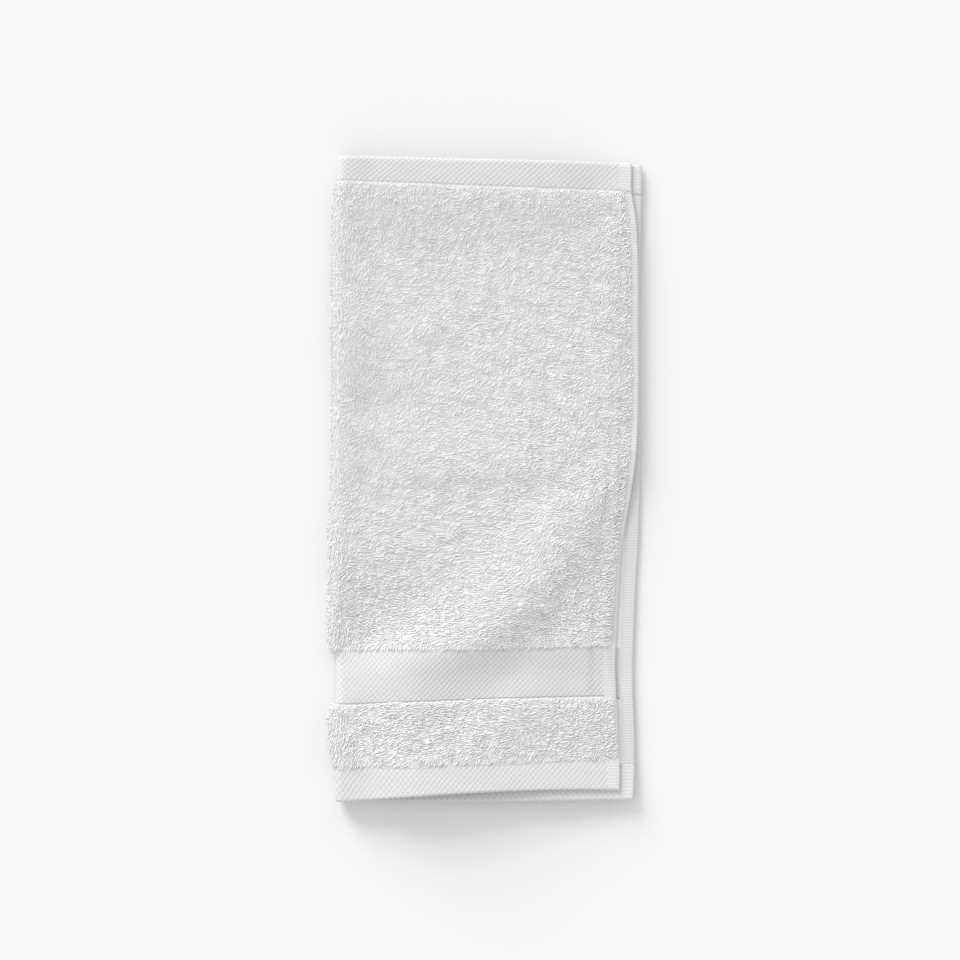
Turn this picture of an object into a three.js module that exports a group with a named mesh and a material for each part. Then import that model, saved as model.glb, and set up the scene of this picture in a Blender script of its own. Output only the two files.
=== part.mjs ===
// Washcloth: one piece of terry towelling, woven with a flat border near one end, its four
// sides turned over into hems, folded once lengthwise and laid down on a level surface.
//
// Millimetres, +Z up. The cloth's length runs along Y, the bordered end at -Y. The fold is
// at -X, and the two free side edges lie over each other at +X. The cloth is one closed
// solid: a band of two layers with a round fold, swept from end to end. Its faces lie where
// the tips of the pile reach, so terry is thicker than the woven border and the hems.

import * as THREE from 'three';

// ---- Driving sizes ----

const CLOTH_LENGTH = 330;
const END_HEM = 15;
const BORDER_START = 50;
const BORDER_END = 78;
const SIDE_HEM_FACE = 3.4;
const SIDE_HEM_BACK = 8;

const TERRY_HALF = 1.9;
const BORDER_HALF = 0.75;
const HEM_HALF = 1;
const PILE_FAN = 1.0;

const LAYER_GAP = 1.1;
const TOP_HEIGHT = 9.6;
const BORDER_SAG = 0.4;
const FOLD_RISE = 1;
const FOLD_RISE_REACH = 16;
const EDGE_DROP = 1.5;
const EDGE_DROP_REACH = 15;
const END_HEM_RISE = 0.5;
const SETTLE_LEVEL = 3.4;
const EDGE_CURL_REACH = 26;
const STEP_WIDTH = 1.2;
const SOFTNESS = 0.25;

// ---- Tables ----

// Bands along the length, from the bordered end: where each one ends, half its thickness,
// and the number of rows of faces that it takes.
const BANDS = [
  { name: 'lower end hem', end: END_HEM, half: HEM_HALF, rows: 2 },
  { name: 'terry strip', end: BORDER_START, half: TERRY_HALF, rows: 4 },
  { name: 'border', end: BORDER_END, half: BORDER_HALF, rows: 4 },
  { name: 'terry with the ridge', end: 200, half: TERRY_HALF, rows: 16 },
  { name: 'terry, upper part', end: CLOTH_LENGTH - END_HEM, half: TERRY_HALF, rows: 10 },
  { name: 'upper end hem', end: CLOTH_LENGTH, half: HEM_HALF, rows: 2 },
];

// How the cloth's crosswise lines lie: the distance of each from the bordered end, and the
// Y where it crosses the lower layer's side edge, the fold, the middle of the upper layer
// and the upper layer's side edge.
const CROSS_LINES = [
  { name: 'lower edge', from: 0, lower: -164.5, fold: -165, middle: -159.7, upper: -159.4 },
  { name: 'lower hem', from: 15, lower: -146.2, fold: -146.8, middle: -145, upper: -143 },
  { name: 'border start', from: 50, lower: -113.4, fold: -115.8, middle: -113.2, upper: -112 },
  { name: 'border end', from: 78, lower: -86.4, fold: -87.4, middle: -86.4, upper: -85.2 },
  { name: 'ridge end', from: 180, lower: 12.6, fold: 15, middle: 14, upper: 12.2 },
  { name: 'upper hem', from: 315, lower: 145.2, fold: 151.6, middle: 148.8, upper: 146.4 },
  { name: 'upper edge', from: 330, lower: 160.6, fold: 164.4, middle: 162.8, upper: 161.4 },
];

// The outline from above: at each Y, the X of the fold's middle surface and of the two
// layers' side edges.
const OUTLINE = [
  { y: -164, fold: -75.2, lower: 77.2, upper: 70 },
  { y: -148, fold: -74.9, lower: 78, upper: 70.4 },
  { y: -128, fold: -76.4, lower: 78, upper: 69.8 },
  { y: -103, fold: -75, lower: 77.2, upper: 68.2 },
  { y: -82, fold: -77, lower: 77.6, upper: 68.6 },
  { y: -50, fold: -76.9, lower: 79, upper: 70.4 },
  { y: -26, fold: -76.5, lower: 80.4, upper: 72.8 },
  { y: -6, fold: -75.8, lower: 80.7, upper: 76.4 },
  { y: 15, fold: -75.6, lower: 80.9, upper: 78.8 },
  { y: 45, fold: -75.5, lower: 81, upper: 79.6 },
  { y: 76, fold: -75.5, lower: 81.1, upper: 79 },
  { y: 111, fold: -75.2, lower: 81.2, upper: 79.3 },
  { y: 134, fold: -74.3, lower: 81.4, upper: 78.2 },
  { y: 147, fold: -73.6, lower: 81.6, upper: 76.3 },
  { y: 165, fold: -72.8, lower: 81.8, upper: 76.8 },
];

// The soft ridge that crosses the upper layer: the X and height of its crest at each Y, and
// how far it reaches down to the left and to the right.
const RIDGE = [
  { y: -165, crest: -66, height: 0.4, left: 40, right: 50 },
  { y: -145, crest: -64, height: 2, left: 50, right: 50 },
  { y: -124, crest: -58, height: 3.9, left: 60, right: 54 },
  { y: -103, crest: -44, height: 5.2, left: 62, right: 58 },
  { y: -88, crest: -20, height: 5.5, left: 58, right: 50 },
  { y: -72, crest: 4, height: 5, left: 56, right: 39 },
  { y: -52, crest: 24, height: 4.4, left: 54, right: 32 },
  { y: -31, crest: 44, height: 4, left: 52, right: 29 },
  { y: -11, crest: 60, height: 3.8, left: 44, right: 28 },
  { y: 10, crest: 78, height: 3.2, left: 34, right: 26 },
  { y: 24, crest: 90, height: 2.2, left: 32, right: 30 },
  { y: 42, crest: 104, height: 0, left: 30, right: 30 },
];

// Humps and hollows of the upper layer: centre, height, half length, half width, and the
// turn of the length from X in degrees.
const HUMPS = [
  { name: 'upper left', x: -44, y: 150, height: 2.8, long: 62, wide: 40, turn: -18 },
  { name: 'upper middle', x: 12, y: 152, height: 2.6, long: 54, wide: 40, turn: -8 },
  { name: 'upper right', x: 52, y: 148, height: 1.2, long: 34, wide: 26, turn: 0 },
  { name: 'beside the fold', x: -70, y: 72, height: 1.5, long: 20, wide: 34, turn: 10 },
  { name: 'hollow by the fold', x: -56, y: 36, height: -1, long: 26, wide: 18, turn: 0 },
  { name: 'small fold', x: -32, y: 78, height: 0.8, long: 26, wide: 10, turn: 30 },
  { name: 'above the hollow', x: -70, y: -36, height: 1.4, long: 52, wide: 34, turn: 0 },
  { name: 'hollow by the ridge', x: -70, y: -84, height: -2, long: 40, wide: 30, turn: 30 },
  { name: 'middle', x: 16, y: 30, height: 0.8, long: 16, wide: 40, turn: 0 },
  { name: 'behind the ridge', x: 66, y: -92, height: -1.6, long: 34, wide: 36, turn: 0 },
  { name: 'lower middle', x: -8, y: -146, height: 1.4, long: 46, wide: 26, turn: 8 },
  { name: 'lower right', x: 52, y: -136, height: 0.8, long: 22, wide: 20, turn: 0 },
];

// The crosswise crease above the ridge: a slow rise towards the bordered end, then a drop.
const CREASE = { y: 4, lean: 0.02, height: 1.1, rise: 36, drop: 9, left: -58, right: 58, fade: 28 };

// The bordered end stands up off the surface, most at this X. Each layer has its own height
// there.
const LIFT = { x: -34, y: -78, left: 44, right: 145, reach: 86, power: 1.45, upper: 10, lower: 7.8 };

// How far the upper layer comes down onto the lower one towards its side edge, at each Y, and
// how far in from the edge that begins.
const SETTLE = [
  { y: -165, share: 1, reach: 150 },
  { y: -145, share: 0.9, reach: 140 },
  { y: -120, share: 0.76, reach: 70 },
  { y: -95, share: 0.72, reach: 50 },
  { y: -20, share: 0.8, reach: 40 },
  { y: 10, share: 0.55, reach: 40 },
  { y: 35, share: 0.4, reach: 40 },
  { y: 120, share: 0.4, reach: 40 },
  { y: 145, share: 0.5, reach: 40 },
  { y: 165, share: 0.6, reach: 40 },
];

// How far the hem at the bordered end turns up, at each X.
const END_CURL = [
  { x: -75, rise: 0 },
  { x: -30, rise: 0.8 },
  { x: 20, rise: 2.4 },
  { x: 75, rise: 3 },
];

// How far the lower layer's side edge turns up, at each Y.
const EDGE_CURL = [
  { y: -165, rise: 0 },
  { y: -30, rise: 0 },
  { y: 30, rise: 1.2 },
  { y: 165, rise: 1.2 },
];

// Faces across the cloth: along the lower layer, round the fold and along the upper layer.
const LOWER_STEPS = 10;
const FOLD_STEPS = 8;
const UPPER_STEPS = 17;

// ---- Small functions ----

function clamp01(t) {
  return Math.min(1, Math.max(0, t));
}

// 1 at 0 and 0 from 1 on, level at both.
function bell(t) {
  return 0.5 + 0.5 * Math.cos(Math.PI * clamp01(Math.abs(t)));
}

// 0 up to 0 and 1 from 1 on, level at both.
function ease(t) {
  return 1 - bell(t > 0 ? t : 0);
}

// The larger of a and b, rounded off where they meet.
function softMax(a, b) {
  const excess = (a - b) / SOFTNESS;
  return excess > 20 ? a : b + SOFTNESS * Math.log(1 + Math.exp(excess));
}

// A table's column at a place, eased from row to row.
function lookUp(table, key, place, column) {
  const at = Math.min(table[table.length - 1][key], Math.max(table[0][key], place));
  let row = 0;
  while (row < table.length - 2 && table[row + 1][key] < at) row += 1;
  const from = table[row];
  const to = table[row + 1];
  const span = to[key] - from[key];
  const before = table[Math.max(0, row - 1)];
  const after = table[Math.min(table.length - 1, row + 2)];
  const slopeFrom = (to[column] - before[column]) / (to[key] - before[key]);
  const slopeTo = (after[column] - from[column]) / (after[key] - from[key]);
  const t = (at - from[key]) / span;
  const keepFrom = (1 + 2 * t) * (1 - t) ** 2;
  const turnFrom = t * (1 - t) ** 2 * span;
  const turnTo = t * t * (t - 1) * span;
  return (
    keepFrom * from[column] + (1 - keepFrom) * to[column] + turnFrom * slopeFrom + turnTo * slopeTo
  );
}

// ---- The lie of the cloth ----

function ridgeHeight(x, y) {
  const across = x - lookUp(RIDGE, 'y', y, 'crest');
  const reach = lookUp(RIDGE, 'y', y, across < 0 ? 'left' : 'right');
  return Math.max(0, lookUp(RIDGE, 'y', y, 'height')) * bell(across / reach);
}

function humpHeight(x, y) {
  return HUMPS.reduce((sum, hump) => {
    const turn = THREE.MathUtils.degToRad(hump.turn);
    const dx = x - hump.x;
    const dy = y - hump.y;
    const along = (dx * Math.cos(turn) + dy * Math.sin(turn)) / hump.long;
    const across = (dy * Math.cos(turn) - dx * Math.sin(turn)) / hump.wide;
    return sum + hump.height * bell(Math.hypot(along, across));
  }, 0);
}

function creaseHeight(x, y) {
  const across = y - CREASE.y - CREASE.lean * x;
  const ends = ease((x - CREASE.left) / CREASE.fade) * ease((CREASE.right - x) / CREASE.fade);
  return CREASE.height * ends * bell(across / (across > 0 ? CREASE.rise : CREASE.drop));
}

// The share of the bordered end's most height off the surface.
function lift(x, y) {
  const up = clamp01((LIFT.y - y) / LIFT.reach) ** LIFT.power;
  const across = x - LIFT.x;
  return up * bell(across / (across < 0 ? LIFT.left : LIFT.right));
}

// How far the bordered end's hem turns up there.
function endCurl(x, along) {
  return lookUp(END_CURL, 'x', x, 'rise') * clamp01(1 - along / END_HEM);
}

// How far into an end hem a crosswise line is: 0 outside the hems, 1 at the cloth's ends.
function hemDepth(along) {
  const toEnd = Math.min(along, CLOTH_LENGTH - along);
  return clamp01(1 - toEnd / END_HEM);
}

function borderSag(along) {
  const middle = (BORDER_START + BORDER_END) / 2;
  return BORDER_SAG * bell((along - middle) / ((BORDER_END - BORDER_START) / 2));
}

// From a layer's middle surface to its inner side, thinner on the hems.
function innerHalf(along, toEdge) {
  const onSide = ease((SIDE_HEM_BACK + STEP_WIDTH - toEdge) / (2 * STEP_WIDTH));
  return TERRY_HALF - (TERRY_HALF - HEM_HALF) * Math.max(onSide, hemDepth(along));
}

// Height of the lower layer's middle surface.
function lowerHeight(x, y, along, toEdge) {
  const endDrop = (TERRY_HALF - HEM_HALF) * hemDepth(along);
  const sideDrop = (TERRY_HALF - HEM_HALF) * clamp01(1 - toEdge / SIDE_HEM_FACE);
  const drop = Math.max(endDrop, sideDrop, borderSag(along));
  const curl = Math.max(0, lookUp(EDGE_CURL, 'y', y, 'rise'));
  const sideCurl = curl * bell(toEdge / EDGE_CURL_REACH);
  return TERRY_HALF - drop + LIFT.lower * lift(x, y) + sideCurl + endCurl(x, along);
}

// Height of the upper layer's middle surface: the folds, but never into the lower layer.
function upperHeight(x, y, along, toEdge, toFold) {
  const folds = ridgeHeight(x, y) + humpHeight(x, y) + creaseHeight(x, y);
  const ends = LIFT.upper * lift(x, y) + FOLD_RISE * bell(toFold / FOLD_RISE_REACH);
  const sideDrop = EDGE_DROP * bell(toEdge / EDGE_DROP_REACH);
  const drop = sideDrop + borderSag(along) - END_HEM_RISE * hemDepth(along);
  const wanted = TOP_HEIGHT - TERRY_HALF + folds + ends - drop + endCurl(x, along);
  const toLowerEdge = lookUp(OUTLINE, 'y', y, 'lower') - x;
  const least = innerHalf(along, toLowerEdge) + innerHalf(along, toEdge) + LAYER_GAP;
  const resting = lowerHeight(x, y, along, toLowerEdge) + least;
  const reach = lookUp(SETTLE, 'y', y, 'reach');
  const nearEdge = bell(Math.max(0, toEdge - SETTLE_LEVEL) / reach);
  const settled = lookUp(SETTLE, 'y', y, 'share') * nearEdge;
  return softMax(wanted + (resting - wanted) * settled, resting);
}

// Y of a crosswise line, from the lower layer's side edge (-1) over the fold (0) to the
// upper layer's side edge (1).
function lineY(along, place) {
  const fold = lookUp(CROSS_LINES, 'from', along, 'fold');
  if (place < 0) {
    return THREE.MathUtils.lerp(fold, lookUp(CROSS_LINES, 'from', along, 'lower'), -place);
  }
  const middle = lookUp(CROSS_LINES, 'from', along, 'middle');
  const upper = lookUp(CROSS_LINES, 'from', along, 'upper');
  const bow = middle - (fold + upper) / 2;
  return THREE.MathUtils.lerp(fold, upper, place) + 4 * bow * place * (1 - place);
}

// ---- Rows and stations ----

// Rows along the length, each with half its thickness. Two rows, a step apart, stand where
// one band meets the next.
function makeRows() {
  const rows = [];
  let start = 0;
  BANDS.forEach((band, index) => {
    const first = index === 0 ? start : start + STEP_WIDTH / 2;
    const last = index === BANDS.length - 1 ? band.end : band.end - STEP_WIDTH / 2;
    for (let step = 0; step <= band.rows; step += 1) {
      rows.push({ along: THREE.MathUtils.lerp(first, last, step / band.rows), half: band.half });
    }
    start = band.end;
  });
  return rows;
}

// Stations in one layer, as distances from its side edge: close together at the hem's
// steps, then even up to the fold.
function layerStations(width, steps) {
  const near = [
    0,
    SIDE_HEM_FACE - STEP_WIDTH / 2,
    SIDE_HEM_FACE + STEP_WIDTH / 2,
    SIDE_HEM_BACK - STEP_WIDTH / 2,
    SIDE_HEM_BACK + STEP_WIDTH / 2,
  ];
  const last = near[near.length - 1];
  for (let step = 1; step <= steps; step += 1) {
    near.push(THREE.MathUtils.lerp(last, width, step / steps));
  }
  return near;
}

// One row's middle surface, from the lower side edge over the fold to the upper side edge.
function makeSection(row) {
  const { along, half } = row;
  const foldY = lineY(along, 0);
  const foldX = lookUp(OUTLINE, 'y', foldY, 'fold');
  const lowerEdgeX = lookUp(OUTLINE, 'y', lineY(along, -1), 'lower');
  const upperEdgeX = lookUp(OUTLINE, 'y', lineY(along, 1), 'upper');

  const lowZ = lowerHeight(foldX, foldY, along, Infinity);
  const highZ = upperHeight(foldX, foldY, along, Infinity, 0);
  const radius = (highZ - lowZ) / 2;
  const centreX = foldX + radius;
  const section = [];

  const lowerWidth = lowerEdgeX - centreX;
  layerStations(lowerWidth, LOWER_STEPS).forEach((toEdge) => {
    const x = lowerEdgeX - toEdge;
    const y = lineY(along, -1 + toEdge / lowerWidth);
    const z = lowerHeight(Math.max(foldX, x - radius), y, along, toEdge);
    section.push({ x, y, z, toEdge, fan: 0 });
  });

  for (let step = 1; step < FOLD_STEPS; step += 1) {
    const turn = (Math.PI * step) / FOLD_STEPS;
    const x = centreX - radius * Math.sin(turn);
    const z = lowZ + radius * (1 - Math.cos(turn));
    section.push({ x, y: foldY, z, toEdge: Infinity, fan: Math.sin(turn) ** 2 });
  }

  const upperWidth = upperEdgeX - centreX;
  layerStations(upperWidth, UPPER_STEPS).reverse().forEach((toEdge) => {
    const x = upperEdgeX - toEdge;
    const y = lineY(along, 1 - toEdge / upperWidth);
    const toFold = upperWidth - toEdge;
    const z = upperHeight(Math.max(foldX, x - radius), y, along, toEdge, toFold);
    section.push({ x, y, z, toEdge, fan: 0 });
  });

  return section.map((point) => ({ ...point, half }));
}

// ---- The solid ----

// Half thickness on the face, which is outside, and on the back, which is inside the fold.
function faceHalf(point) {
  const terry = point.half === TERRY_HALF;
  if (point.toEdge < SIDE_HEM_FACE) return terry ? HEM_HALF : point.half;
  return terry ? point.half + PILE_FAN * point.fan : point.half;
}

function backHalf(point) {
  const terry = point.half === TERRY_HALF;
  return terry && point.toEdge < SIDE_HEM_BACK ? HEM_HALF : point.half;
}

function vectorOf(point) {
  return new THREE.Vector3(point.x, point.y, point.z);
}

// Unit normal of the middle surface, pointing out of the fold.
function surfaceNormal(grid, row, station) {
  const rowBefore = grid[Math.max(0, row - 1)];
  const rowAfter = grid[Math.min(grid.length - 1, row + 1)];
  const last = grid[row].length - 1;
  const across = vectorOf(grid[row][Math.min(last, station + 1)]);
  across.sub(vectorOf(grid[row][Math.max(0, station - 1)]));
  const along = vectorOf(rowAfter[station]).sub(vectorOf(rowBefore[station]));
  return across.cross(along).normalize();
}

function makeClothGeometry() {
  const grid = makeRows().map(makeSection);
  const rows = grid.length;
  const stations = grid[0].length;
  const positions = [];
  const indices = [];

  grid.forEach((section, row) => {
    section.forEach((point, station) => {
      const normal = surfaceNormal(grid, row, station);
      const face = vectorOf(point).addScaledVector(normal, faceHalf(point));
      const back = vectorOf(point).addScaledVector(normal, -backHalf(point));
      positions.push(...face.toArray(), ...back.toArray());
    });
  });

  const faceVertex = (row, station) => 2 * (row * stations + station);
  const backVertex = (row, station) => faceVertex(row, station) + 1;
  const addQuad = (a, b, c, d) => indices.push(a, b, c, a, c, d);

  for (let row = 0; row < rows - 1; row += 1) {
    for (let station = 0; station < stations - 1; station += 1) {
      addQuad(
        faceVertex(row, station),
        faceVertex(row, station + 1),
        faceVertex(row + 1, station + 1),
        faceVertex(row + 1, station),
      );
      addQuad(
        backVertex(row, station),
        backVertex(row + 1, station),
        backVertex(row + 1, station + 1),
        backVertex(row, station + 1),
      );
    }
  }

  const addRim = (rowA, stationA, rowB, stationB) => {
    addQuad(
      faceVertex(rowA, stationA),
      faceVertex(rowB, stationB),
      backVertex(rowB, stationB),
      backVertex(rowA, stationA),
    );
  };
  for (let row = 0; row < rows - 1; row += 1) {
    addRim(row, 0, row + 1, 0);
    addRim(row + 1, stations - 1, row, stations - 1);
  }
  for (let station = 0; station < stations - 1; station += 1) {
    addRim(0, station + 1, 0, station);
    addRim(rows - 1, station, rows - 1, station + 1);
  }

  const geometry = new THREE.BufferGeometry();
  geometry.setAttribute('position', new THREE.Float32BufferAttribute(positions, 3));
  geometry.setIndex(indices);
  geometry.computeBoundingBox();
  const box = geometry.boundingBox;
  const centre = box.getCenter(new THREE.Vector3());
  geometry.translate(-centre.x, -centre.y, -box.min.z);
  geometry.computeVertexNormals();
  return geometry;
}

// ---- The part ----

const whiteTerry = new THREE.MeshStandardMaterial({
  color: '#eeeeee',
  roughness: 0.95,
  metalness: 0,
});

const washcloth = new THREE.Mesh(makeClothGeometry(), whiteTerry);
washcloth.name = 'washcloth';

const part = new THREE.Group();
part.add(washcloth);

export default part;
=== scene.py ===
"""A white terry washcloth with a woven border and turned hems, folded in half lengthwise and laid down.

Lengths are in millimetres in the part's own frame, and become metres when a mesh is made. A place on the
cloth is (along, across): along runs from the bordered end to the plain end, and across from the lower
layer's side edge, below 0, over the fold at 0 to the upper layer's side edge.
"""

import math

import bpy
import numpy as np
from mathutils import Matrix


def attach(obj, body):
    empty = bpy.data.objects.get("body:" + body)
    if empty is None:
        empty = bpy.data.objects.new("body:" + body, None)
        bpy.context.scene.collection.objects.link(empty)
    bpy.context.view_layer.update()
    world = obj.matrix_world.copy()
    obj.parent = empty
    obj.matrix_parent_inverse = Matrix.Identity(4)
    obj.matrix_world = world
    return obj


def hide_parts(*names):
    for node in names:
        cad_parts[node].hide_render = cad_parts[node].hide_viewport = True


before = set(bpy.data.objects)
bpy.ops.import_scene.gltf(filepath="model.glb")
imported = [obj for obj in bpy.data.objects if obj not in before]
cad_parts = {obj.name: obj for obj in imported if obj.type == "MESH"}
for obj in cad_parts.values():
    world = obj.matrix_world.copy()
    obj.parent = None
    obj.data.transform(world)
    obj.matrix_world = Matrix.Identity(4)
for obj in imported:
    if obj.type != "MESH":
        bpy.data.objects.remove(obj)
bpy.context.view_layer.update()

MM = 0.001

# ---- The cloth's sizes ----

CLOTH_LENGTH = 330.0
HALF_WIDTH = 160.0
END_HEM = 15.0
BORDER_START = 50.0
BORDER_END = 78.0
SIDE_HEM = 7.0
SIDE_HEM_FACE = 3.4
# how far in from the side edges and the ends the layers lie closer, with no pile between them
BACK_SIDE_MARGIN = 17.0
BACK_SIDE_FADE = 4.0
BACK_END_MARGIN = 80.0

# half of what a layer takes up, with its pile and at the hems
TERRY_HALF = 1.9
HEM_HALF = 0.6
LAYER_GAP = 0.05
# the height of the upper layer's face where it lies level, and what the border, the fold, the free edge
# and the end hems add or take away
TOP_HEIGHT = 9.6
BORDER_SAG = 0.4
FOLD_RISE = 1.0
FOLD_RISE_REACH = 16.0
EDGE_DROP = 1.5
EDGE_DROP_REACH = 15.0
HEM_DROP = -0.5
# how far the lower layer's side and end hems sink, as a share of what they are thinner by
SIDE_SINK = 0.25
END_SINK = 0.68
# how softly the upper layer comes to rest on the lower one
SOFTNESS = 0.2
# small lumps in the upper layer, most of them lost where it is flat woven
LUMP_HEIGHT = 0.09
LUMP_SIZE = 6.5
LUMP_SEED = 11
SMOOTHER_WEAVE = 0.7
# from where the tables below count to the frame's middle, in X and Y
FRAME_SHIFT = (-0.88, 0.3)

# ---- How the cloth lies ----

# distance from the bordered end, and Y at the lower side edge, the fold, the upper layer's middle and
# the upper side edge
CROSS_LINES = {
    "from": (0, 15, 50, 78, 180, 315, 330),
    "lower": (-164.5, -146.2, -113.4, -86.4, 12.6, 145.2, 160.6),
    "fold": (-165, -146.8, -115.8, -87.4, 15, 151.6, 164.4),
    "middle": (-159.7, -145, -113.2, -86.4, 14, 148.8, 162.8),
    "upper": (-159.4, -143, -112, -85.2, 12.2, 146.4, 161.4),
}

# the outline from above: X of the fold's middle surface and of the two side edges at each Y
OUTLINE = {
    "y": (-164, -150, -130, -118.5, -113, -97, -91, -85.5, -50, -30, -6, 15, 45, 76, 111, 134, 147, 165),
    "fold": (
        -74.4, -74.7, -76.8, -76.6, -74.2, -74, -74.2, -77.2, -76.9,
        -77.3, -76, -75.6, -75.3, -75.5, -75.5, -75, -73.9, -72.4,
    ),
    "lower": (
        77.2, 78, 78, 77.7, 77.4, 77.2, 77.3, 77.5, 79,
        80.2, 80.7, 80.8, 80.7, 80.7, 80.9, 81.3, 81.6, 81.8,
    ),
    "upper": (
        70, 70.4, 69.8, 69.2, 68.7, 68.2, 68.3, 68.5, 70.4,
        72.3, 76.4, 79, 80, 79.9, 79.8, 78.6, 76.5, 76.8,
    ),
}

# the soft ridge: X and height of its crest at each Y, and its reach down to the left and to the right
RIDGE = {
    "y": (-165, -145, -124, -103, -88, -72, -52, -31, -11, 10, 24, 42),
    "crest": (-66, -64, -58, -44, -20, 4, 24, 44, 60, 78, 90, 104),
    "height": (0.4, 2, 3.9, 5.2, 5.5, 5, 4.4, 4, 3.8, 3.2, 2.2, 0),
    "left": (40, 50, 60, 62, 58, 56, 54, 52, 44, 34, 32, 30),
    "right": (50, 50, 54, 58, 50, 39, 32, 29, 28, 26, 30, 30),
}

# humps and hollows of the upper layer
HUMPS = (
    # x, y, height, half length, half width, turn in degrees
    (-44, 150, 2.8, 62, 40, -18),
    (12, 152, 2.6, 54, 40, -8),
    (52, 148, 1.2, 34, 26, 0),
    (-70, 72, 1.5, 20, 34, 10),
    (-56, 36, -1, 26, 18, 0),
    (-32, 78, 0.8, 26, 10, 30),
    (-70, -36, 1.4, 52, 34, 0),
    (-70, -84, -2, 40, 30, 30),
    (16, 30, 0.8, 16, 40, 0),
    (66, -92, -1.6, 34, 36, 0),
    (-8, -146, 1.4, 46, 26, 8),
    (52, -136, 0.8, 22, 20, 0),
)

# how far the upper side edge comes down onto the lower layer
SETTLE = {
    "y": (-165, -145, -120, -95, -20, 10, 35, 120, 145, 165),
    "share": (1, 0.9, 0.76, 0.72, 0.8, 0.55, 0.4, 0.4, 0.65, 0.85),
    "reach": (150, 140, 70, 50, 40, 40, 40, 40, 40, 40),
}
SETTLE_MARGIN = 3.4

# how far the bordered end's hem turns up, and how far the lower layer's side edge does
CURL = {"x": (-75, -30, 20, 75), "rise": (0, 0.8, 2.4, 3)}
EDGE_CURL = {"y": (-165, -30, 30, 165), "rise": (0, 0, 1.2, 1.2)}
EDGE_CURL_REACH = 26.0

# the old fold across the upper layer: where it lies, its height, and its reach up, down and to its ends
CREASE = dict(y=4, lean=0.02, height=1.1, rise=36, drop=9, left=-58, right=58, fade=28)
# the bordered end stands off the ground: most at x, from y down, and by how much in each layer
LIFT = dict(x=-34, y=-78, left=44, right=145, reach=86, power=1.45, upper=10, lower=7.8)


def bell(t):
    """1 at 0 and 0 from 1 on, level at both."""
    return 0.5 + 0.5 * np.cos(np.pi * np.clip(np.abs(t), 0, 1))


def ease(t):
    """0 up to 0 and 1 from 1 on, level at both."""
    return 1 - bell(np.maximum(t, 0))


def soft_max(a, b):
    """The larger of a and b, rounded off where they meet."""
    return b + SOFTNESS * np.logaddexp(0, (a - b) / SOFTNESS)


def look_up(table, key, place, column):
    """A table's column at a place, eased from row to row."""
    keys, values = np.array(table[key], float), np.array(table[column], float)
    at = np.clip(place, keys[0], keys[-1])
    row = np.clip(np.searchsorted(keys, at, side="left") - 1, 0, len(keys) - 2)
    before, after = np.maximum(row - 1, 0), np.minimum(row + 2, len(keys) - 1)
    span = keys[row + 1] - keys[row]
    slope_from = (values[row + 1] - values[before]) / (keys[row + 1] - keys[before])
    slope_to = (values[after] - values[row]) / (keys[after] - keys[row])
    t = (at - keys[row]) / span
    keep = (1 + 2 * t) * (1 - t) ** 2
    turn_from, turn_to = t * (1 - t) ** 2 * span, t * t * (t - 1) * span
    return keep * values[row] + (1 - keep) * values[row + 1] + turn_from * slope_from + turn_to * slope_to


def ridge_height(x, y):
    """Height of the soft ridge."""
    across = x - look_up(RIDGE, "y", y, "crest")
    reach = np.where(across < 0, look_up(RIDGE, "y", y, "left"), look_up(RIDGE, "y", y, "right"))
    return np.maximum(0, look_up(RIDGE, "y", y, "height")) * bell(across / reach)


def hump_height(x, y):
    """Height of the humps and hollows together."""
    total = 0.0
    for hump_x, hump_y, height, long, wide, degrees in HUMPS:
        turn = math.radians(degrees)
        dx, dy = x - hump_x, y - hump_y
        along = (dx * math.cos(turn) + dy * math.sin(turn)) / long
        across = (dy * math.cos(turn) - dx * math.sin(turn)) / wide
        total = total + height * bell(np.hypot(along, across))
    return total


def crease_height(x, y):
    """Height of the old fold, softer on its far side."""
    across = y - CREASE["y"] - CREASE["lean"] * x
    ends = ease((x - CREASE["left"]) / CREASE["fade"]) * ease((CREASE["right"] - x) / CREASE["fade"])
    return CREASE["height"] * ends * bell(across / np.where(across > 0, CREASE["rise"], CREASE["drop"]))


def lift(x, y):
    """How far the bordered end stands off the ground, as a share of its most."""
    up = np.clip((LIFT["y"] - y) / LIFT["reach"], 0, 1) ** LIFT["power"]
    across = x - LIFT["x"]
    return up * bell(across / np.where(across < 0, LIFT["left"], LIFT["right"]))


def hem_depth(along):
    """0 outside the end hems, 1 at the cloth's ends."""
    return np.clip(1 - np.minimum(along, CLOTH_LENGTH - along) / END_HEM, 0, 1)


def border_sag(along):
    """How far the border sinks, because it has no pile."""
    middle, half = (BORDER_START + BORDER_END) / 2, (BORDER_END - BORDER_START) / 2
    return BORDER_SAG * bell((along - middle) / half)


def end_curl(x, along):
    """How far the bordered end's hem turns up."""
    return look_up(CURL, "x", x, "rise") * np.clip(1 - along / END_HEM, 0, 1)


def back_half(along, to_edge):
    """From a layer's middle surface to its inner side, which has no pile on the side hem."""
    at_end = np.clip(1 - np.minimum(along, CLOTH_LENGTH - along) / BACK_END_MARGIN, 0, 1)
    at_side = ease((BACK_SIDE_MARGIN - to_edge) / BACK_SIDE_FADE)
    return TERRY_HALF - (TERRY_HALF - HEM_HALF) * np.maximum(at_side, at_end)


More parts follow.
